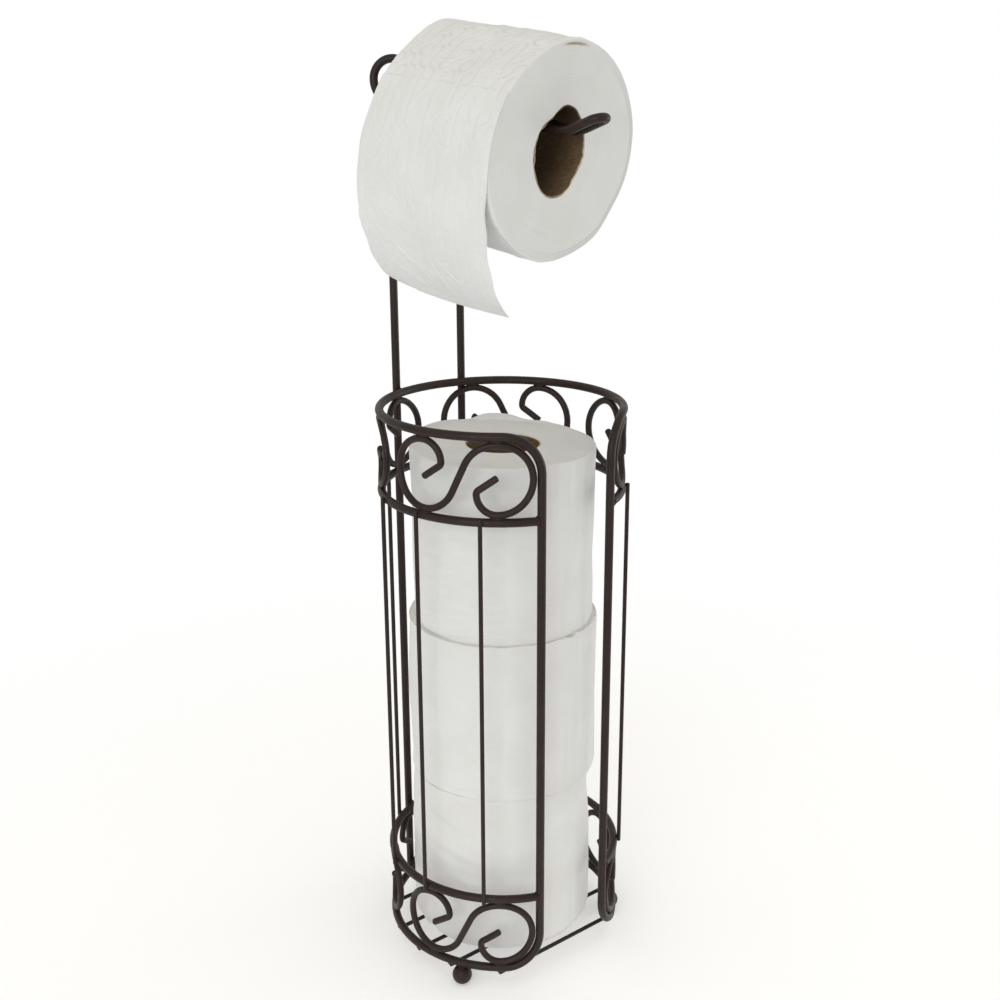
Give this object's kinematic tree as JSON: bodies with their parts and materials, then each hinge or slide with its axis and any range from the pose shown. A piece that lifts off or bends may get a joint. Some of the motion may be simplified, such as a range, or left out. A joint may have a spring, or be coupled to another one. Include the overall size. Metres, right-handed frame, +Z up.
{
  "type": "toilet paper holder",
  "caption": "Free-standing wire toilet paper holder: round scrollwork basket with an open front for spare rolls, ball feet, and a looped arm for the roll in use.",
  "frame": {"origin": "on the floor, on the axis of the round basket", "axes": "+Z up; -Y is the front, where the basket is open and where the arm points; +X is on the right of a viewer who faces the front"},
  "size_m": [0.1484, 0.1642, 0.5613],
  "materials": {
    "dark_bronze_wire": "satin",
    "tissue_paper": "matte",
    "core_board": "matte"
  },
  "bodies": {
    "stand": {"basket_frame_wire": "dark_bronze_wire", "arm_wire": "dark_bronze_wire", "upper_band_ring": "dark_bronze_wire", "lower_band_ring": "dark_bronze_wire", "upper_scroll_1": "dark_bronze_wire", "upper_scroll_2": "dark_bronze_wire", "upper_scroll_3": "dark_bronze_wire", "upper_scroll_4": "dark_bronze_wire", "lower_scroll_1": "dark_bronze_wire", "lower_scroll_2": "dark_bronze_wire", "lower_scroll_3": "dark_bronze_wire", "lower_scroll_4": "dark_bronze_wire", "upright_rod_1": "dark_bronze_wire", "upright_rod_2": "dark_bronze_wire", "upright_rod_3": "dark_bronze_wire", "upright_rod_4": "dark_bronze_wire", "upright_rod_5": "dark_bronze_wire", "upright_rod_6": "dark_bronze_wire", "upright_rod_7": "dark_bronze_wire", "upright_rod_8": "dark_bronze_wire", "base_wire_1": "dark_bronze_wire", "base_wire_2": "dark_bronze_wire", "base_wire_3": "dark_bronze_wire", "base_wire_4": "dark_bronze_wire", "base_wire_5": "dark_bronze_wire", "ball_foot_left": "dark_bronze_wire", "ball_foot_right": "dark_bronze_wire", "ball_foot_rear": "dark_bronze_wire"},
    "arm_roll": {"arm_roll_paper": "tissue_paper", "arm_roll_core": "core_board", "hanging_sheet": "tissue_paper"},
    "bottom_roll": {"bottom_roll_paper": "tissue_paper", "bottom_roll_core": "core_board"},
    "middle_roll": {"middle_roll_paper": "tissue_paper", "middle_roll_core": "core_board"},
    "top_roll": {"top_roll_paper": "tissue_paper", "top_roll_core": "core_board"}
  },
  "joints": [
    {"name": "arm_roll_turn", "type": "hinge", "parent": "stand", "child": "arm_roll", "pos_m": [0, 0.002, 0.498], "axis": [0.095, -0.9869, -0.1305], "continuous": true},
    {"name": "bottom_roll_lift", "type": "slide", "parent": "stand", "child": "bottom_roll", "axis": [0, 0, 1], "range_m": [0, 0.024]},
    {"name": "middle_roll_lift", "type": "slide", "parent": "bottom_roll", "child": "middle_roll", "axis": [0, 0, 1], "range_m": [0, 0.024]},
    {"name": "top_roll_lift", "type": "slide", "parent": "middle_roll", "child": "top_roll", "axis": [0, 0, 1], "range_m": [0, 0.024]}
  ]
}
